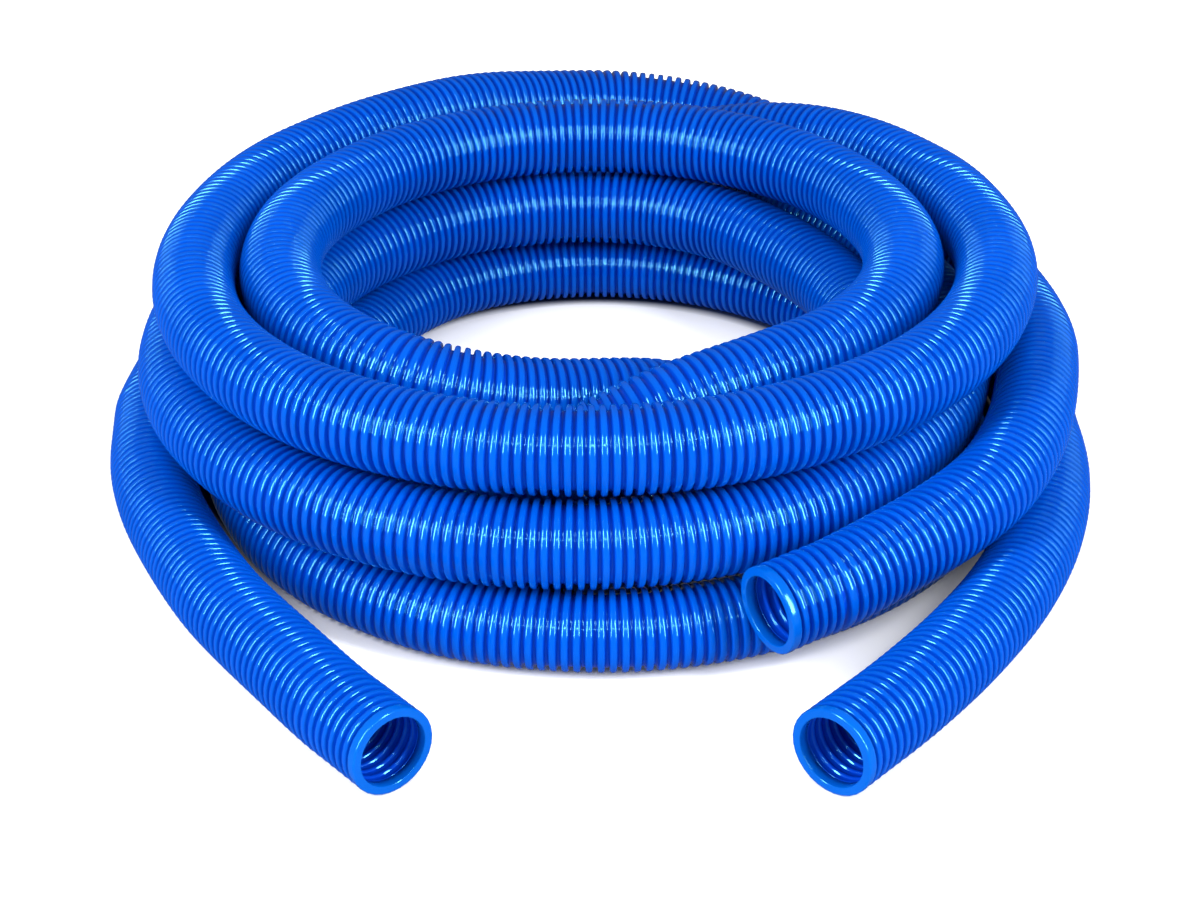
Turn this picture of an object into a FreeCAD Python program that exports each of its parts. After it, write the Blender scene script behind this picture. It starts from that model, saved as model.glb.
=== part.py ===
"""Pool vacuum hose: a long ribbed hose coiled three layers high, over a short length of it.

Millimetres. +Z is up and the floor is z = 0. The origin is on the floor, in the middle of
the footprint. The camera side is -Y, where three of the hoses' four open ends lie.
"""
import FreeCAD, Part
import math
import os

# Hose section, where the wall's thickness is that under the grooves
bore_diameter = 38.0
wall_thickness = 1.95
groove_depth = 2.8
rib_pitch = 5.8
rib_crest_width = 3.2
cuff_length = 6.0
bore_clearance = 0.2

# Flat sides round the hose, and the longest straight runs along it
facet_count = 10
tube_run = 32.0
bore_run = 18.0

# Counts of ribs behind each cuff
long_end_ribs = 20
tucked_end_ribs = 2
short_end_ribs = 20

# Lie of the coil
turn_gap = 1.0
inner_wall_radius = 182.4
coil_centre_x = -0.5
coil_centre_y = 36.75
foot_cut = 4.75
cuff_foot_cut = 0.5

# How gaps are measured. Points nearer than a stretch along the hose belong to one turn.
least_self_gap = 0.4
point_spacing = 6.0
same_turn_stretch = 142.5

# The long hose from its free end to its tucked end. Each row is an angle in degrees seen from
# above, a column, which counts turns outward from the inner wall, and a layer up from the floor.
long_hose_stations = [
    # The free end lies on the outside of the coil and rises round its back onto the top.
    (-62.6, 2.17, 1.73), (-45, 2.03, 1.89), (-30, 1.85, 1.99), (-15, 1.65, 2.03),
    (0, 1.58, 2.02), (20, 1.52, 2.02), (40, 1.62, 2.04), (55, 1.82, 2.2),
    (67, 1.99, 2.4), (77, 2.01, 2.55), (87, 1.92, 2.66), (97, 1.68, 2.77),
    (108, 1.38, 2.93), (120, 1.14, 3.0), (135, 1.04, 3.0),
    # Outer wall, top layer
    (155, 1.01, 3.0), (180, 1.03, 3.0), (205, 1.12, 3.0), (230, 1.17, 3.0), (255, 1.12, 3.0),
    (280, 1.06, 3.0), (305, 1.01, 3.0), (330, 1.02, 3.0), (355, 1.06, 3.0), (378, 1.05, 3.0),
    (394, 1.02, 2.99), (405, 1.02, 2.96), (415, 1.01, 2.88), (425, 0.99, 2.72),
    (435, 0.98, 2.49), (445, 0.97, 2.25), (455, 0.96, 2.07), (465, 0.97, 2.0),
    # Outer wall, middle layer
    (480, 1.04, 2.0), (505, 1.13, 2.0), (530, 1.23, 2.0), (558, 1.35, 2.0),
    (585, 1.42, 2.0), (610, 1.4, 2.0), (635, 1.31, 2.0), (660, 1.13, 2.0), (685, 0.81, 2.0),
    (705, 0.62, 2.0), (722, 0.55, 2.0), (740, 0.5, 2.0), (757, 0.55, 2.0),
    (769, 0.68, 1.93), (778, 0.84, 1.76), (787, 1.0, 1.51), (796, 1.11, 1.27),
    (805, 1.16, 1.1), (814, 1.18, 1.02), (824, 1.17, 1.0),
    # Outer wall, bottom layer, and the shift to the inner wall on the right
    (835, 1.14, 1.0), (850, 1.05, 1.0), (870, 0.81, 1.0), (895, 0.63, 1.0),
    (915, 0.65, 1.0), (930, 0.85, 1.0), (945, 1.12, 1.0), (960, 1.34, 1.0),
    (977, 1.5, 1.0), (998, 1.53, 1.0), (1020, 1.43, 1.0), (1040, 1.26, 1.0),
    (1055, 0.97, 1.0), (1070, 0.6, 1.0), (1085, 0.34, 1.0), (1105, 0.18, 1.0),
    # Inner wall, bottom layer
    (1128, 0.14, 1.0), (1152, 0.14, 1.0), (1176, 0.13, 1.0), (1200, 0.04, 1.0),
    (1225, -0.2, 1.0), (1246, -0.36, 1.0), (1262, -0.41, 1.0), (1276, -0.38, 1.0),
    (1290, -0.24, 1.0), (1303, -0.02, 1.0), (1313, 0.12, 1.0), (1321, 0.18, 1.0),
    (1329, 0.2, 1.03), (1337, 0.19, 1.12), (1345, 0.15, 1.28), (1353, 0.08, 1.49),
    (1361, 0.0, 1.7), (1370, -0.09, 1.88), (1380, -0.18, 1.98), (1394, -0.28, 2.0),
    # Inner wall, middle layer
    (1414, -0.38, 2.0), (1438, -0.45, 2.0), (1460, -0.5, 2.0), (1478, -0.46, 2.0),
    (1491, -0.35, 2.0), (1501, -0.22, 2.0), (1511, -0.13, 2.0), (1522, -0.08, 2.0),
    (1540, -0.05, 2.0), (1565, -0.02, 2.0), (1595, 0.0, 2.0),
    (1622, 0.05, 2.0), (1640, 0.14, 2.0), (1656, 0.27, 2.0), (1669, 0.36, 2.0),
    (1680, 0.39, 2.0), (1688, 0.37, 2.04), (1696, 0.32, 2.16), (1704, 0.24, 2.37),
    (1712, 0.14, 2.63), (1720, 0.04, 2.84), (1729, -0.05, 2.95), (1741, -0.11, 3.0),
    # Inner wall, top layer
    (1762, -0.1, 3.0), (1787, -0.06, 3.0), (1812, -0.03, 3.0), (1840, -0.01, 3.0),
    (1870, 0.0, 3.0), (1900, 0.0, 3.0), (1930, 0.0, 3.0), (1960, 0.01, 3.0),
    (1985, 0.03, 3.0), (2005, 0.04, 3.0), (2019, 0.03, 2.98), (2030, -0.04, 2.94),
    # The tucked end dives inside the coil, behind its front, and lies on the floor.
    (2039, -0.18, 2.86), (2047, -0.39, 2.75), (2055, -0.62, 2.64), (2064, -0.82, 2.56),
    (2075, -0.98, 2.49), (2085, -1.08, 2.38), (2095, -1.17, 2.14), (2106, -1.25, 1.76),
    (2116, -1.31, 1.43), (2127, -1.37, 1.18), (2138, -1.43, 1.09), (2148, -1.49, 1.09),
]

# The short hose from its right end, round the back of the coil, to its left end. Each row is an
# angle, a column as above, and the share of the lift that brings its cuffs onto the floor.
short_hose_stations = [
    (-65.6, 3.685, 1.0), (-61, 3.41, 1.0), (-55, 3.1, 0.9), (-46, 2.72, 0.7), (-36, 2.37, 0.4),
    (-26, 2.09, 0.2), (-16, 1.86, 0.05), (-6, 1.69, 0.0),
    (5, 1.67, 0.0), (30, 1.83, 0.0), (60, 2.11, 0.0), (90, 2.18, 0.0),
    (120, 2.12, 0.0), (150, 1.85, 0.0), (178, 1.65, 0.0),
    (188, 1.69, 0.05), (198, 1.79, 0.2), (208, 1.93, 0.35), (218, 2.13, 0.55),
    (228, 2.45, 0.75), (235, 2.73, 0.9), (242, 3.085, 1.0), (248.1, 3.51, 1.0),
]

# Sizes that follow
bore_radius = bore_diameter / 2
root_radius = bore_radius + wall_thickness
hose_radius = root_radius + groove_depth
hose_diameter = 2 * hose_radius
turn_pitch = hose_diameter + turn_gap
lying_height = hose_radius - foot_cut
cuff_height = hose_radius - cuff_foot_cut
straight_end = cuff_length + hose_diameter
facet_angle = 2 * math.pi / facet_count
bore_corner_radius = (bore_radius + bore_clearance) / math.cos(facet_angle / 2)

up = FreeCAD.Vector(0, 0, 1)


class Bend:
    """One arc of a hose's route. It is a straight run where its radius is None."""

    def __init__(self, start, heading, end):
        self.start = start
        self.heading = heading
        chord = end - start
        along = chord.dot(heading)
        side = chord - heading * along
        if side.Length < 1e-6 * chord.Length:
            self.radius = None
            self.length = chord.Length
            return
        self.inward = side / side.Length
        self.radius = chord.Length ** 2 / (2 * side.Length)
        self.length = 2 * math.atan2(side.Length, along) * self.radius

    def point(self, distance):
        if self.radius is None:
            return self.start + self.heading * distance
        turn = distance / self.radius
        forward = self.heading * (self.radius * math.sin(turn))
        return self.start + forward + self.inward * (self.radius * (1 - math.cos(turn)))

    def direction(self, distance):
        if self.radius is None:
            return FreeCAD.Vector(self.heading)
        turn = distance / self.radius
        return self.heading * math.cos(turn) + self.inward * math.sin(turn)


def limited_slope(before, here, after):
    """Slope at the middle of three rows, which is zero where they turn back."""
    rise = (here[1] - before[1]) / (here[0] - before[0])
    fall = (after[1] - here[1]) / (after[0] - here[0])
    if rise * fall <= 0:
        return 0.0
    mean = (after[1] - before[1]) / (after[0] - before[0])
    limit = 2 * min(abs(rise), abs(fall))
    return math.copysign(min(abs(mean), limit), rise)


def slopes_along(angles, values):
    rows = list(zip(angles, values))
    first = (rows[1][1] - rows[0][1]) / (rows[1][0] - rows[0][0])
    last = (rows[-1][1] - rows[-2][1]) / (rows[-1][0] - rows[-2][0])
    middle = [limited_slope(rows[i - 1], rows[i], rows[i + 1]) for i in range(1, len(rows) - 1)]
    return [first] + middle + [last]


def points_and_headings(angles, radii, heights):
    """The stations in space, with the direction in which the hose passes each."""
    radius_slopes = slopes_along(angles, radii)
    height_slopes = slopes_along(angles, heights)
    centre = FreeCAD.Vector(coil_centre_x, coil_centre_y, 0)
    points = []
    headings = []
    for i, angle in enumerate(angles):
        outward = FreeCAD.Vector(math.cos(angle), math.sin(angle), 0)
        onward = FreeCAD.Vector(-math.sin(angle), math.cos(angle), 0)
        points.append(centre + outward * radii[i] + up * heights[i])
        heading = onward * radii[i] + outward * radius_slopes[i] + up * height_slopes[i]
        headings.append(heading / heading.Length)
    return points, headings


def biarc(start, start_heading, end, end_heading):
    """Two arcs that join two stations and meet each other with no kink."""
    chord = end - start
    both = start_heading + end_heading
    spread = 2 * (1 - start_heading.dot(end_heading))
    along = chord.dot(both)
    if spread < 1e-9:
        reach = chord.dot(chord) / (2 * along)
    else:
        reach = (math.sqrt(along ** 2 + spread * chord.dot(chord)) - along) / spread
    middle = (start + end + (start_heading - end_heading) * reach) / 2
    first = Bend(start, start_heading, middle)
    second = Bend(middle, first.direction(first.length), end)
    return [first, second]


def route_through(angles, radii, heights):
    """A hose's whole route: straight at both ends, with two arcs from each station to the next."""
    points, headings = points_and_headings(angles, radii, heights)
    mouth = points[0] - headings[0] * straight_end
    route = [Bend(mouth, headings[0], points[0])]
    for i in range(len(points) - 1):
        route += biarc(points[i], headings[i], points[i + 1], headings[i + 1])
    route.append(Bend(points[-1], headings[-1], points[-1] + headings[-1] * straight_end))
    return route


def column_radius(column):
    return inner_wall_radius + column * turn_pitch


def layer_height(layer):
    return lying_height + (layer - 1) * turn_pitch


def long_hose_route():
    angles = [math.radians(row[0]) for row in long_hose_stations]
    radii = [column_radius(row[1]) for row in long_hose_stations]
    heights = [layer_height(row[2]) for row in long_hose_stations]
    return route_through(angles, radii, heights)


def short_hose_route():
    angles = [math.radians(row[0]) for row in short_hose_stations]
    radii = [column_radius(row[1]) for row in short_hose_stations]
    lift = cuff_height - lying_height
    heights = [lying_height + row[2] * lift for row in short_hose_stations]
    return route_through(angles, radii, heights)


def route_length(route):
    return sum(bend.length for bend in route)


def place_on(route, distance):
    """Point and direction at a distance along a route."""
    for bend in route[:-1]:
        if distance <= bend.length:
            return bend.point(distance), bend.direction(distance)
        distance -= bend.length
    return route[-1].point(distance), route[-1].direction(distance)


def stops_between(first, last, step):
    """Distances from first to last, in even steps of at most the given length."""
    count = math.ceil((last - first) / step)
    return [first + (last - first) * i / count for i in range(count + 1)]


def facet_section(point, direction, corner_radius):
    """The hose's outline across its route, with a flat side down and its X axis kept level."""
    level = up.cross(direction)
    level.normalize()
    top = direction.cross(level)
    corners = []
    for i in range(facet_count):
        angle = -math.pi / 2 + facet_angle * (i + 0.5)
        offset = level * (corner_radius * math.cos(angle)) + top * (corner_radius * math.sin(angle))
        corners.append(point + offset)
    return Part.makePolygon(corners + [corners[0]])


def above_floor(solid):
    """Lays a piece flat on the floor by cutting off what would reach below it."""
    box = solid.BoundBox
    if box.ZMin >= 0:
        return solid
    margin = hose_diameter
    corner = FreeCAD.Vector(box.XMin - margin, box.YMin - margin, box.ZMin - margin)
    below = Part.makeBox(box.XLength + 2 * margin, box.YLength + 2 * margin, -corner.z, corner)
    return solid.cut(below).Solids[0]


def loft_along(route, stops, corner_radius):
    """A straight-sided loft through the hose's outlines at some distances along its route."""
    sections = [facet_section(*place_on(route, stop), corner_radius) for stop in stops]
    return Part.makeLoft(sections, True, True)


def plain_tube(route, first, last):
    """A long stretch of the hose, round its route at the size of its rib crests."""
    tube = loft_along(route, stops_between(first, last, tube_run), hose_radius)
    section = facet_section(*place_on(route, first), hose_radius)
    swept_volume = Part.Face(section).Area * (last - first)
    print("  tube volume over section times length:", round(tube.Volume / swept_volume, 4))
    return above_floor(tube.Solids[0])


def rib_sections(route, first, rib_count):
    """Four outlines for each rib: groove, the two edges of its crest, and the next groove."""
    flank = (rib_pitch - rib_crest_width) / 2
    sections = []
    for i in range(rib_count):
        groove = first + i * rib_pitch
        rows = [(groove, root_radius), (groove + flank, hose_radius)]
        rows.append((groove + flank + rib_crest_width, hose_radius))
        for distance, radius in rows:
            sections.append(facet_section(*place_on(route, distance), radius))
    last_groove = first + rib_count * rib_pitch
    sections.append(facet_section(*place_on(route, last_groove), root_radius))
    return sections


def ribbed_tube(route, first, rib_count):
    """A stretch of hose with its ribs and its open bore."""
    last = first + rib_count * rib_pitch
    outside = Part.makeLoft(rib_sections(route, first, rib_count), True, True)
    bore = loft_along(route, stops_between(first, last, bore_run), bore_corner_radius)
    return above_floor(outside.cut(bore).Solids[0])


def cuff(route, first):
    """The smooth moulded ring that ends the hose."""
    start, direction = place_on(route, first)
    outside = Part.makeCylinder(hose_radius, cuff_length, start, direction)
    bore = Part.makeCylinder(bore_radius, cuff_length, start, direction)
    return above_floor(outside.cut(bore).Solids[0])


def plain_stretch(route, first_ribs, last_ribs):
    """Distances along a route between which the hose has no ribs modelled."""
    start = cuff_length + first_ribs * rib_pitch
    end = route_length(route) - cuff_length - last_ribs * rib_pitch
    return start, end


def hose_pieces(name, route, first_name, first_ribs, last_name, last_ribs):
    """One hose: its two cuffs, the ribbed stretch behind each, and all that lies between."""
    tube_start, tube_end = plain_stretch(route, first_ribs, last_ribs)
    last_cuff = route_length(route) - cuff_length
    return {
        name + "_" + first_name + "_cuff": cuff(route, 0.0),
        name + "_" + first_name + "_end": ribbed_tube(route, cuff_length, first_ribs),
        name + "_turns": plain_tube(route, tube_start, tube_end),
        name + "_" + last_name + "_end": ribbed_tube(route, tube_end, last_ribs),
        name + "_" + last_name + "_cuff": cuff(route, last_cuff),
    }


def axis_points(route, first_ribs, last_ribs):
    """Points along the middle of the solids, which run straight from outline to outline."""
    tube_start, tube_end = plain_stretch(route, first_ribs, last_ribs)
    stops = stops_between(0.0, tube_start, rib_pitch)[:-1]
    stops += stops_between(tube_start, tube_end, tube_run)
    stops += stops_between(tube_end, route_length(route), rib_pitch)[1:]
    centres = [place_on(route, stop)[0] for stop in stops]
    points = []
    for start, end in zip(centres, centres[1:]):
        shares = stops_between(0.0, 1.0, point_spacing / start.distanceToPoint(end))
        points += [start + (end - start) * share for share in shares[:-1]]
    return points + [centres[-1]]


def print_gaps(long_points, short_points):
    """Prints how near the turns come to each other and to the short hose."""
    apart = int(same_turn_stretch / point_spacing)
    least = min(
        long_points[i].distanceToPoint(long_points[j])
        for i in range(len(long_points))
        for j in range(i + apart, len(long_points))
    )
    print("least gap of the long hose to itself:", round(least - hose_diameter, 2))
    if least - hose_diameter < least_self_gap:
        print("  this is under", least_self_gap)
    least = min(a.distanceToPoint(b) for a in long_points for b in short_points)
    print("least gap between the two hoses:", round(least - hose_diameter, 2))


def print_bends(name, route):
    radii = [bend.radius for bend in route if bend.radius is not None]
    print(name, "length", round(route_length(route)), "least bend radius", round(min(radii)))


def main():
    os.makedirs("parts", exist_ok=True)
    long_route = long_hose_route()
    short_route = short_hose_route()
    print_bends("long hose", long_route)
    print_bends("short hose", short_route)
    print_gaps(
        axis_points(long_route, long_end_ribs, tucked_end_ribs),
        axis_points(short_route, short_end_ribs, short_end_ribs),
    )
    pieces = hose_pieces("long_hose", long_route, "free", long_end_ribs, "tucked", tucked_end_ribs)
    pieces.update(hose_pieces("short_hose", short_route, "right", short_end_ribs, "left", short_end_ribs))
    for node, solid in pieces.items():
        print(node, "valid", solid.isValid(), "volume", round(solid.Volume))
        solid.exportStep("parts/" + node + ".step")


main()
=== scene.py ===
"""Pool vacuum hose in two lengths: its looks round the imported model. Metres, +Z up.

The long hose is coiled three layers high, and the short one lies on the floor round it. The
camera side is -Y.
"""
import math

import bpy
import numpy as np
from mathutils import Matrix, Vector


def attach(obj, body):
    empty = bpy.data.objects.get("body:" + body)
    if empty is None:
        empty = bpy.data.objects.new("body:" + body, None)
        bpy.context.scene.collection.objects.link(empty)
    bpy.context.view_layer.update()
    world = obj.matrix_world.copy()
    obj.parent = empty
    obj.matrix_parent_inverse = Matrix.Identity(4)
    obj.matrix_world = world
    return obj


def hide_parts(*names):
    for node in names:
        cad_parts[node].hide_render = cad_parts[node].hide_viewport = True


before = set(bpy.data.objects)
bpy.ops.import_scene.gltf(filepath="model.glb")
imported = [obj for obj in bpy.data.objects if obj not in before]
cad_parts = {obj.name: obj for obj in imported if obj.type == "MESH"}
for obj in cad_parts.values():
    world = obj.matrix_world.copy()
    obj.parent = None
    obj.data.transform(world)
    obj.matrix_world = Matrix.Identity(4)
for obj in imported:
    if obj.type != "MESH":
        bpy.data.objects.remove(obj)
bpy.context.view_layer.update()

# Hose section
hose_diameter = 0.0475
bore_diameter = 0.038
cuff_length = 0.006
rib_pitch = 0.0058
groove_depth = 0.0031
inner_groove_depth = 0.001

# Detail: ribs at each mouth that show inside the bore, points round a section, and points of a
# hose's line for each point of its route
ridged_ribs = 40
section_points = 30
line_resolution = 24

# One rib from the middle of a groove to the middle of the next: a share of the pitch, and how far
# the surface has risen there, as a share of the groove's depth.
rib_profile = [
    (0.172, 0.0), (0.214, 0.6), (0.238, 0.832), (0.276, 0.905), (0.336, 0.956), (0.414, 1.0),
    (0.586, 1.0), (0.664, 0.956), (0.724, 0.905), (0.762, 0.832), (0.786, 0.6), (0.828, 0.0),
]

# A cuff's rounded outside from its back to its mouth, and its inside from the mouth to the back:
# a share of its length, and how far the surface has drawn in from the outside or out from the bore.
cuff_outside = [
    (0.0, groove_depth), (0.03, 0.0011), (0.1, 0.0004), (0.2, 0.0001), (0.35, 0.0), (0.82, 0.0),
    (0.92, 0.0001), (0.975, 0.0004), (1.0, 0.0009), (1.0, 0.0015),
]
cuff_inside = [(1.0, 0.0012), (1.0, 0.0006), (0.98, 0.0002), (0.93, 0.0), (0.5, 0.0), (0.0, 0.0)]

# Plastic: colours are linear, and clouds change its shade and its gloss.
# The grooves' colour is darker than the crests': painted shade in the grooves and all along the bore.
groove_shade_colour = (0.0, 0.042, 0.48, 1.0)
crest_colour = (0.0, 0.07, 0.47, 1.0)
cuff_colour = (0.0, 0.088, 0.49, 1.0)
reflection_tint = (0.22, 0.9, 1.0, 1.0)
plastic_ior = 1.8
rib_roughness = 0.1
cuff_roughness = 0.14
cloud_scale = 26.0
cloud_limits = (0.3, 0.7)
cloud_shades = (0.93, 1.05)
cloud_gloss = (-0.03, 0.05)
grain_scale = 1400.0
grain_strength = 0.25
grain_depth = 0.00004

# Room, and a floor of paper whose glow fades near the hoses as a painted contact shadow
white = (1.0, 1.0, 1.0, 1.0)
room_strength = 0.5
mirrored_room = 0.12
floor_half = 15.0
floor_height = -0.0003
floor_glow = 0.45
fade_distance = 0.035
open_paper = (0.9, 0.9, 0.9, 1.0)

# Painted shade: a dark ring on the floor under the coil's walls. Its centre is behind the coil's, and
# it ends between two distances from its middle. Heights are stretched, so that it leaves with the
# coil.
shaded_paper = (0.04, 0.06, 0.15, 1.0)
shade_shift = 0.008
shade_radius = 0.2085
shade_limits = (0.036, 0.046)
shade_stretch = 10.0

# Lamps: two tall strips beside the camera, and a wide and thin one above it
lamp_target = Vector((0.0, 0.0, 0.07))
lamp_distance = 2.2
strip_azimuth = 50.0
strip_elevation = 30.0
strip_size = (0.42, 1.6)
strip_power = 58.0
top_elevation = 39.0
top_size = (1.2, 0.05)
top_power = 8.0

# Camera
camera_place = (-0.0005, -1.39185, 0.7835)
camera_elevation = 29.2009
camera_lens = 80.3175
camera_shift = 0.00408
sensor_width = 36.0

# Lie of the coil
turn_gap = 0.001
inner_wall_radius = 0.1824
coil_centre = Vector((-0.0005, 0.03675, 0.0))
foot_cut = 0.00475
cuff_foot_cut = 0.0005

# The long hose from its free end to its tucked end. Each row is an angle in degrees seen from
# above, a column, which counts turns outward from the inner wall, and a layer up from the floor.
long_hose_stations = [
    # The free end lies on the outside of the coil and rises round its back onto the top.
    (-62.6, 2.17, 1.73), (-45, 2.03, 1.89), (-30, 1.85, 1.99), (-15, 1.65, 2.03),
    (0, 1.58, 2.02), (20, 1.52, 2.02), (40, 1.62, 2.04), (55, 1.82, 2.2),
    (67, 1.99, 2.4), (77, 2.01, 2.55), (87, 1.92, 2.66), (97, 1.68, 2.77),
    (108, 1.38, 2.93), (120, 1.14, 3.0), (135, 1.04, 3.0),
    # Outer wall, top layer
    (155, 1.01, 3.0), (180, 1.03, 3.0), (205, 1.12, 3.0), (230, 1.17, 3.0), (255, 1.12, 3.0),
    (280, 1.06, 3.0), (305, 1.01, 3.0), (330, 1.02, 3.0), (355, 1.06, 3.0), (378, 1.05, 3.0),
    (394, 1.02, 2.99), (405, 1.02, 2.96), (415, 1.01, 2.88), (425, 0.99, 2.72),
    (435, 0.98, 2.49), (445, 0.97, 2.25), (455, 0.96, 2.07), (465, 0.97, 2.0),
    # Outer wall, middle layer
    (480, 1.04, 2.0), (505, 1.13, 2.0), (530, 1.23, 2.0), (558, 1.35, 2.0),
    (585, 1.42, 2.0), (610, 1.4, 2.0), (635, 1.31, 2.0), (660, 1.13, 2.0), (685, 0.81, 2.0),
    (705, 0.62, 2.0), (722, 0.55, 2.0), (740, 0.5, 2.0), (757, 0.55, 2.0),
    (769, 0.68, 1.93), (778, 0.84, 1.76), (787, 1.0, 1.51), (796, 1.11, 1.27),
    (805, 1.16, 1.1), (814, 1.18, 1.02), (824, 1.17, 1.0),
    # Outer wall, bottom layer, and the shift to the inner wall on the right
    (835, 1.14, 1.0), (850, 1.05, 1.0), (870, 0.81, 1.0), (895, 0.63, 1.0),
    (915, 0.65, 1.0), (930, 0.85, 1.0), (945, 1.12, 1.0), (960, 1.34, 1.0),
    (977, 1.5, 1.0), (998, 1.53, 1.0), (1020, 1.43, 1.0), (1040, 1.26, 1.0),
    (1055, 0.97, 1.0), (1070, 0.6, 1.0), (1085, 0.34, 1.0), (1105, 0.18, 1.0),
    # Inner wall, bottom layer
    (1128, 0.14, 1.0), (1152, 0.14, 1.0), (1176, 0.13, 1.0), (1200, 0.04, 1.0),
    (1225, -0.2, 1.0), (1246, -0.36, 1.0), (1262, -0.41, 1.0), (1276, -0.38, 1.0),
    (1290, -0.24, 1.0), (1303, -0.02, 1.0), (1313, 0.12, 1.0), (1321, 0.18, 1.0),
    (1329, 0.2, 1.03), (1337, 0.19, 1.12), (1345, 0.15, 1.28), (1353, 0.08, 1.49),
    (1361, 0.0, 1.7), (1370, -0.09, 1.88), (1380, -0.18, 1.98), (1394, -0.28, 2.0),
    # Inner wall, middle layer
    (1414, -0.38, 2.0), (1438, -0.45, 2.0), (1460, -0.5, 2.0), (1478, -0.46, 2.0),
    (1491, -0.35, 2.0), (1501, -0.22, 2.0), (1511, -0.13, 2.0), (1522, -0.08, 2.0),
    (1540, -0.05, 2.0), (1565, -0.02, 2.0), (1595, 0.0, 2.0),
    (1622, 0.05, 2.0), (1640, 0.14, 2.0), (1656, 0.27, 2.0), (1669, 0.36, 2.0),
    (1680, 0.39, 2.0), (1688, 0.37, 2.04), (1696, 0.32, 2.16), (1704, 0.24, 2.37),
    (1712, 0.14, 2.63), (1720, 0.04, 2.84), (1729, -0.05, 2.95), (1741, -0.11, 3.0),
    # Inner wall, top layer
    (1762, -0.1, 3.0), (1787, -0.06, 3.0), (1812, -0.03, 3.0), (1840, -0.01, 3.0),
    (1870, 0.0, 3.0), (1900, 0.0, 3.0), (1930, 0.0, 3.0), (1960, 0.01, 3.0),
    (1985, 0.03, 3.0), (2005, 0.04, 3.0), (2019, 0.03, 2.98), (2030, -0.04, 2.94),
    # The tucked end dives inside the coil, behind its front, and lies on the floor.
    (2039, -0.18, 2.86), (2047, -0.39, 2.75), (2055, -0.62, 2.64), (2064, -0.82, 2.56),
    (2075, -0.98, 2.49), (2085, -1.08, 2.38), (2095, -1.17, 2.14), (2106, -1.25, 1.76),
    (2116, -1.31, 1.43), (2127, -1.37, 1.18), (2138, -1.43, 1.09), (2148, -1.49, 1.09),
]

# The short hose from its right end, round the back of the coil, to its left end. Each row is an
# angle, a column as above, and the share of the lift that brings its cuffs onto the floor.
short_hose_stations = [
    (-65.6, 3.685, 1.0), (-61, 3.41, 1.0), (-55, 3.1, 0.9), (-46, 2.72, 0.7), (-36, 2.37, 0.4),
    (-26, 2.09, 0.2), (-16, 1.86, 0.05), (-6, 1.69, 0.0),
    (5, 1.67, 0.0), (30, 1.83, 0.0), (60, 2.11, 0.0), (90, 2.18, 0.0),
    (120, 2.12, 0.0), (150, 1.85, 0.0), (178, 1.65, 0.0),
    (188, 1.69, 0.05), (198, 1.79, 0.2), (208, 1.93, 0.35), (218, 2.13, 0.55),
    (228, 2.45, 0.75), (235, 2.73, 0.9), (242, 3.085, 1.0), (248.1, 3.51, 1.0),
]

# Sizes that follow
hose_radius = hose_diameter / 2
bore_radius = bore_diameter / 2
groove_radius = hose_radius - groove_depth
turn_pitch = hose_diameter + turn_gap
lying_height = hose_radius - foot_cut
cuff_height = hose_radius - cuff_foot_cut
straight_end = cuff_length + hose_diameter
shade_centre = coil_centre + Vector((0.0, shade_shift, 0.0))
up = Vector((0.0, 0.0, 1.0))


def column_radius(column):
    return inner_wall_radius + column * turn_pitch


def layer_height(layer):
    return lying_height + (layer - 1) * turn_pitch


def outward_at(angle):
    return Vector((math.cos(angle), math.sin(angle), 0.0))


def place_of(angle, radius, height):
    return coil_centre + outward_at(angle) * radius + up * height


def heading_at(row, near, far):
    """Direction of the hose at a row, with the slopes between two rows."""
    angle, radius, _ = row
    sweep = far[0] - near[0]
    outward = outward_at(angle)
    heading = up.cross(outward) * radius + outward * ((far[1] - near[1]) / sweep)
    heading += up * ((far[2] - near[2]) / sweep)
    return heading.normalized()


def route_points(rows):
    """The route's points from mouth to mouth. Two points make each end straight."""
    points = [place_of(*row) for row in rows]
    first = heading_at(rows[0], rows[0], rows[1])
    last = heading_at(rows[-1], rows[-2], rows[-1])
    start = [points[0] - first * straight_end, points[0] - first * (straight_end / 2)]
    end = [points[-1] + last * (straight_end / 2), points[-1] + last * straight_end]
    return start + points + end


def controls_through(points):
    """Control points of the smooth line that passes by each point, where the hose lies.

    The line passes its own control at a weight of 6/8, and the two beside it at 1/8 each.
    """
    controls = list(points)
    rounds = 12
    for _ in range(rounds):
        for i in range(2, len(points) - 2):
            controls[i] = (8 * points[i] - controls[i - 1] - controls[i + 1]) / 6
    return controls


def smooth_line(name, controls):
    """The points of a hose's line, read from the spline of its route."""
    data = bpy.data.curves.new(name, "CURVE")
    data.dimensions = "3D"
    spline = data.splines.new("NURBS")
    spline.points.add(len(controls) - 1)
    for place, point in zip(spline.points, controls):
        place.co = (*point, 1.0)
    spline.order_u = 3
    spline.use_endpoint_u = True
    spline.resolution_u = line_resolution
    curve = bpy.data.objects.new(name, data)
    read = bpy.data.meshes.new_from_object(curve)
    line = np.array([vertex.co for vertex in read.vertices])
    bpy.data.objects.remove(curve)
    bpy.data.curves.remove(data)
    bpy.data.meshes.remove(read)
    return line


def distances_along(line):
    steps = np.linalg.norm(np.diff(line, axis=0), axis=1)
    return np.concatenate([[0.0], np.cumsum(steps)])


def unit(rows):
    return rows / np.linalg.norm(rows, axis=1, keepdims=True)


def rows_at(distances, along, rows):
    """Rows that go with the points of a line, read at distances along it."""
    return np.stack([np.interp(distances, along, column) for column in rows.T], axis=1)


def frames_at(line, distances):
    """Places on a line, and the level and the upward direction across it at each."""
    along = distances_along(line)
    headings = unit(np.gradient(line, along, axis=0))
    heading = unit(rows_at(distances, along, headings))
    level = unit(np.cross(np.array(up), heading))
    return rows_at(distances, along, line), level, np.cross(heading, level)


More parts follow.
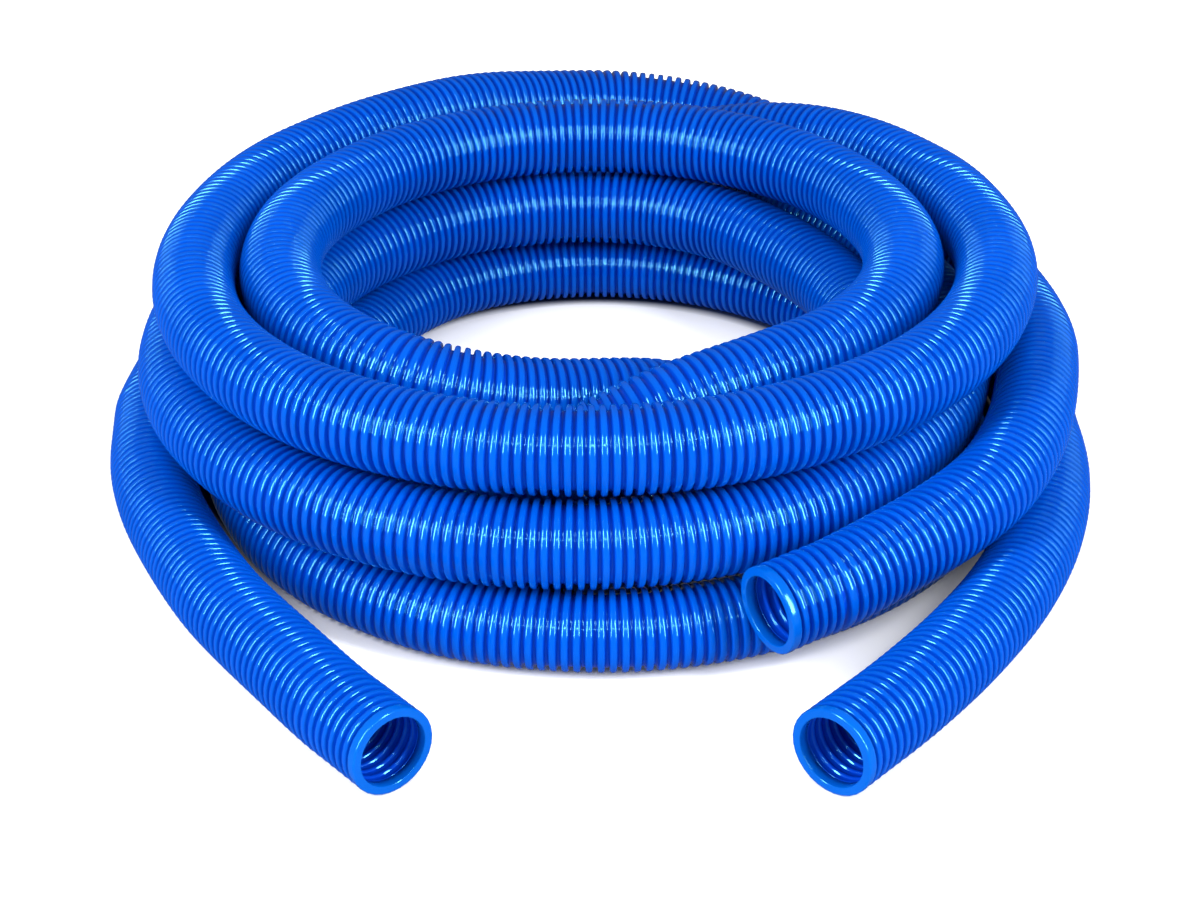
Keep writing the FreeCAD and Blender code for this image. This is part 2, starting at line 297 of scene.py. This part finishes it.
def section_rings(line, distances, radii):
    """Points round a line, with one ring for each distance and radius."""
    places, level, top = frames_at(line, distances)
    turn = 2 * math.pi * np.arange(section_points) / section_points
    sideways = np.cos(turn)
    upward = np.sin(turn)
    # What lies on the floor is flattened below its middle.
    flattening = np.minimum(places[:, 2] / hose_radius, 1.0)[:, None]
    rise = upward * np.where(upward < 0, flattening, 1.0)
    across = level[:, None] * sideways[None, :, None] + top[:, None] * rise[:, :, None]
    rings = places[:, None] + radii[:, None, None] * across
    rings[:, :, 2] = np.maximum(rings[:, :, 2], 0.0)
    return rings


def mesh_through(name, rings):
    """A smooth mesh of quads through rings of points. The last ring joins the first."""
    ring_count, count = rings.shape[:2]
    ring = np.arange(ring_count)[:, None]
    spoke = np.arange(count)[None, :]
    next_ring = (ring + 1) % ring_count
    next_spoke = (spoke + 1) % count
    corners = [ring * count + spoke, ring * count + next_spoke]
    corners += [next_ring * count + next_spoke, next_ring * count + spoke]
    faces = np.stack(corners, axis=-1)
    mesh = bpy.data.meshes.new(name)
    mesh.vertices.add(ring_count * count)
    mesh.vertices.foreach_set("co", rings.ravel())
    mesh.loops.add(faces.size)
    mesh.loops.foreach_set("vertex_index", faces.ravel())
    mesh.polygons.add(ring_count * count)
    mesh.polygons.foreach_set("loop_start", np.arange(ring_count * count) * len(corners))
    mesh.update(calc_edges=True)
    mesh.shade_smooth()
    return mesh


def swept_object(name, line, profile):
    """A hollow piece round a line. Its profile is a closed loop of rows.

    A row has a distance along the line, a radius, and how far up a rib the surface is there, which
    fades the grooves' painted shade towards the crests.
    """
    distances, radii, crests = np.array(profile).T
    mesh = mesh_through(name, section_rings(line, distances, radii))
    crest = mesh.attributes.new("crest", "FLOAT", "POINT")
    crest.data.foreach_set("value", np.repeat(crests.astype(np.float32), section_points))
    piece = bpy.data.objects.new(name, mesh)
    bpy.context.scene.collection.objects.link(piece)
    return piece


def ribbed_hose(name, line):
    """A hose between its cuffs: ribs outside, and ridges inside, where a mouth shows them."""
    length = distances_along(line)[-1]
    ribbed = length - 2 * cuff_length
    rib_count = round(ribbed / rib_pitch)
    pitch = ribbed / rib_count
    outside = []
    inside = []
    for i in range(rib_count):
        start = cuff_length + i * pitch
        for share, rise in rib_profile:
            outside.append((start + share * pitch, groove_radius + rise * groove_depth, rise))
        # The bore's rows sit at 0, so all of the bore takes the grooves' painted shade.
        if i < ridged_ribs or i >= rib_count - ridged_ribs:
            for share, rise in rib_profile:
                inside.append((start + share * pitch, bore_radius + rise * inner_groove_depth, 0.0))
        else:
            inside.append((start, bore_radius, 0.0))
    outside.append((length - cuff_length, groove_radius, 0.0))
    inside.append((length - cuff_length, bore_radius, 0.0))
    return swept_object(name, line, outside + inside[::-1])


def cuff(name, line, begin, finish):
    """The smooth ring that ends a hose, from its back, at begin, to its mouth, at finish."""
    length = finish - begin
    profile = [(begin + share * length, hose_radius - depth, 1.0) for share, depth in cuff_outside]
    profile += [(begin + share * length, bore_radius + depth, 1.0) for share, depth in cuff_inside]
    if length < 0:
        profile = profile[::-1]
    return swept_object(name, line, profile)


def add_node(tree, kind, inputs=None, **settings):
    """A shader node. Each input is set to a value, or linked where that is another's output."""
    node = tree.nodes.new(kind)
    for name, value in settings.items():
        setattr(node, name, value)
    for key, value in (inputs or {}).items():
        if isinstance(value, bpy.types.NodeSocket):
            tree.links.new(value, node.inputs[key])
        else:
            node.inputs[key].default_value = value
    return node


def noise(tree, scale, detail):
    place = add_node(tree, "ShaderNodeTexCoord").outputs["Object"]
    settings = {"Vector": place, "Scale": scale, "Detail": detail}
    return add_node(tree, "ShaderNodeTexNoise", settings).outputs["Fac"]


def ramp(tree, value, limits, results):
    """What goes from one result to the other while the value goes between its limits."""
    settings = {"Value": value, "From Min": limits[0], "From Max": limits[1]}
    settings |= {"To Min": results[0], "To Max": results[1]}
    return add_node(tree, "ShaderNodeMapRange", settings).outputs["Result"]


def mixed_colour(tree, share, first, second):
    colours = {"Factor": share, "A": first, "B": second}
    return add_node(tree, "ShaderNodeMix", colours, data_type="RGBA").outputs["Result"]


def combined(tree, operation, *values):
    node = add_node(tree, "ShaderNodeMath", dict(enumerate(values)), operation=operation)
    return node.outputs["Value"]


def by_ray(tree, lighting, mirrored, seen):
    """One shader for the light that spreads, one for what is mirrored and one for the camera."""
    path = add_node(tree, "ShaderNodeLightPath")
    surface = lighting
    for ray, shader in (("Is Glossy Ray", mirrored), ("Is Camera Ray", seen)):
        shaders = {"Fac": path.outputs[ray], 1: surface, 2: shader}
        surface = add_node(tree, "ShaderNodeMixShader", shaders).outputs["Shader"]
    return surface


def hose_plastic(name, groove_shade_colour, crest_colour, roughness):
    """Glossy moulded plastic, with painted shade in the grooves, faint clouding and a fine grain."""
    material = bpy.data.materials.new(name)
    material.use_nodes = True
    tree = material.node_tree
    crest = add_node(tree, "ShaderNodeAttribute", attribute_name="crest").outputs["Fac"]
    # Painted shade: the colour goes towards the darker groove colour where the crest attribute falls.
    colour = mixed_colour(tree, crest, groove_shade_colour, crest_colour)
    clouds = noise(tree, cloud_scale, 4.0)
    clouding = ramp(tree, clouds, cloud_limits, cloud_shades)
    shade = add_node(
        tree, "ShaderNodeVectorMath", {"Vector": colour, "Scale": clouding}, operation="SCALE",
    )
    gloss = ramp(tree, clouds, cloud_limits, [roughness + change for change in cloud_gloss])
    grain = noise(tree, grain_scale, 2.0)
    bump = add_node(
        tree, "ShaderNodeBump", {"Strength": grain_strength, "Distance": grain_depth, "Height": grain},
    )
    shader = tree.nodes["Principled BSDF"]
    shader.inputs["IOR"].default_value = plastic_ior
    shader.inputs["Specular Tint"].default_value = reflection_tint
    tree.links.new(shade.outputs["Vector"], shader.inputs["Base Color"])
    tree.links.new(gloss, shader.inputs["Roughness"])
    tree.links.new(bump.outputs["Normal"], shader.inputs["Normal"])
    return material


def clear_of_walls(tree, coil):
    """0 under the coil's walls, where the floor's painted shade lies, 1 beside them, and 1 all over
    when the coil is lifted.
    """
    place = add_node(tree, "ShaderNodeTexCoord", object=coil).outputs["Object"]
    stretch = (1.0, 1.0, shade_stretch)
    stretched = add_node(tree, "ShaderNodeVectorMath", {0: place, 1: stretch}, operation="MULTIPLY")
    ends = {0: stretched.outputs["Vector"], 1: shade_centre}
    from_centre = add_node(tree, "ShaderNodeVectorMath", ends, operation="DISTANCE")
    from_middle = combined(tree, "SUBTRACT", from_centre.outputs["Value"], shade_radius)
    return ramp(tree, combined(tree, "ABSOLUTE", from_middle), shade_limits, (0.0, 1.0))


def floor_material(coil):
    """White paper, lighter where the camera sees it and dark where the hoses mirror it.

    Its glow fades where something stands close above, a painted contact shadow, and all of it is dark
    under the walls, a painted shade.
    """
    material = bpy.data.materials.new("white_paper")
    material.use_nodes = True
    tree = material.node_tree
    tree.nodes.clear()
    # Painted shade: under the coil's walls the paper turns dark blue and stops glowing.
    clear = clear_of_walls(tree, coil)
    colour = mixed_colour(tree, clear, shaded_paper, open_paper)
    paper = add_node(tree, "ShaderNodeBsdfDiffuse", {"Color": colour}).outputs["BSDF"]
    # Painted contact shadow: the floor's glow fades by ambient occlusion close under the hoses.
    openness = add_node(
        tree, "ShaderNodeAmbientOcclusion", {"Distance": fade_distance}, samples=8,
    ).outputs["AO"]
    glow_here = combined(tree, "MULTIPLY", openness, combined(tree, "MULTIPLY", clear, floor_glow))
    glow = add_node(tree, "ShaderNodeEmission", {"Strength": glow_here}).outputs["Emission"]
    seen = add_node(tree, "ShaderNodeAddShader", {0: paper, 1: glow}).outputs["Shader"]
    mirrored_here = combined(tree, "MULTIPLY", clear, mirrored_room)
    mirrored = add_node(tree, "ShaderNodeEmission", {"Strength": mirrored_here}).outputs["Emission"]
    add_node(tree, "ShaderNodeOutputMaterial", {"Surface": by_ray(tree, paper, mirrored, seen)})
    return material


def make_floor(coil):
    mesh = bpy.data.meshes.new("floor")
    sides = [(-1, -1), (1, -1), (1, 1), (-1, 1)]
    corners = [(x * floor_half, y * floor_half, floor_height) for x, y in sides]
    mesh.from_pydata(corners, [], [(0, 1, 2, 3)])
    mesh.materials.append(floor_material(coil))
    floor = bpy.data.objects.new("floor", mesh)
    bpy.context.scene.collection.objects.link(floor)


def make_world():
    """White where it is seen, dimmer where it lights, and dark where the hoses mirror it."""
    world = bpy.data.worlds.new("white_room")
    world.use_nodes = True
    tree = world.node_tree
    sky = tree.nodes["Background"]
    sky.inputs["Color"].default_value = white
    sky.inputs["Strength"].default_value = room_strength
    skies = [sky.outputs["Background"]]
    for strength in (mirrored_room, 1.0):
        other_sky = add_node(tree, "ShaderNodeBackground", {"Color": white, "Strength": strength})
        skies.append(other_sky.outputs["Background"])
    tree.links.new(by_ray(tree, *skies), tree.nodes["World Output"].inputs["Surface"])
    bpy.context.scene.world = world


def softbox(name, azimuth, elevation, size, power):
    """A rectangular lamp that faces the coil. Azimuth 0 is on the camera side."""
    light = bpy.data.lights.new(name, "AREA")
    light.shape = "RECTANGLE"
    light.size, light.size_y = size
    light.energy = power
    lamp = bpy.data.objects.new(name, light)
    turn = math.radians(azimuth)
    lift = math.radians(elevation)
    back = Vector((math.sin(turn) * math.cos(lift), -math.cos(turn) * math.cos(lift), math.sin(lift)))
    lamp.location = lamp_target + back * lamp_distance
    lamp.rotation_euler = back.to_track_quat("Z", "Y").to_euler()
    bpy.context.scene.collection.objects.link(lamp)


def make_camera():
    data = bpy.data.cameras.new("camera")
    data.sensor_width = sensor_width
    data.lens = camera_lens
    data.shift_x = camera_shift
    camera = bpy.data.objects.new("camera", data)
    camera.location = camera_place
    camera.rotation_euler = (math.radians(90.0 - camera_elevation), 0.0, 0.0)
    bpy.context.scene.collection.objects.link(camera)
    bpy.context.scene.camera = camera


# Camera and light
bpy.context.scene.view_settings.view_transform = "Standard"
make_camera()
make_world()
for name, side in (("left_strip", -1), ("right_strip", 1)):
    softbox(name, side * strip_azimuth, strip_elevation, strip_size, strip_power)
softbox("top_strip", 0.0, top_elevation, top_size, top_power)

# Lines of the two hoses
short_lift = cuff_height - lying_height
long_rows = [(math.radians(a), column_radius(c), layer_height(l)) for a, c, l in long_hose_stations]
short_rows = [
    (math.radians(a), column_radius(c), lying_height + share * short_lift)
    for a, c, share in short_hose_stations
]
long_line = smooth_line("long_hose_route", controls_through(route_points(long_rows)))
short_line = smooth_line("short_hose_route", controls_through(route_points(short_rows)))
long_length = distances_along(long_line)[-1]
short_length = distances_along(short_line)[-1]

# Pieces
blue = hose_plastic("ribbed_blue", groove_shade_colour, crest_colour, rib_roughness)
cuff_blue = hose_plastic("cuff_blue", cuff_colour, cuff_colour, cuff_roughness)
long_hose = ribbed_hose("long_hose", long_line)
short_hose = ribbed_hose("short_hose", short_line)
free_cuff = cuff("long_hose_free_ring", long_line, cuff_length, 0.0)
tucked_cuff = cuff("long_hose_tucked_ring", long_line, long_length - cuff_length, long_length)
right_cuff = cuff("short_hose_right_ring", short_line, cuff_length, 0.0)
left_cuff = cuff("short_hose_left_ring", short_line, short_length - cuff_length, short_length)

make_floor(long_hose)

for piece in (long_hose, short_hose):
    piece.data.materials.append(blue)
for piece in (free_cuff, tucked_cuff, right_cuff, left_cuff):
    piece.data.materials.append(cuff_blue)
for piece in (long_hose, free_cuff, tucked_cuff):
    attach(piece, "long_hose")
for piece in (short_hose, right_cuff, left_cuff):
    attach(piece, "short_hose")

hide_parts("long_hose_free_end", "long_hose_turns", "long_hose_tucked_end")
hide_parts("short_hose_right_end", "short_hose_turns", "short_hose_left_end")
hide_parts("long_hose_free_cuff")
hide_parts("long_hose_tucked_cuff")
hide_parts("short_hose_right_cuff")
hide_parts("short_hose_left_cuff")
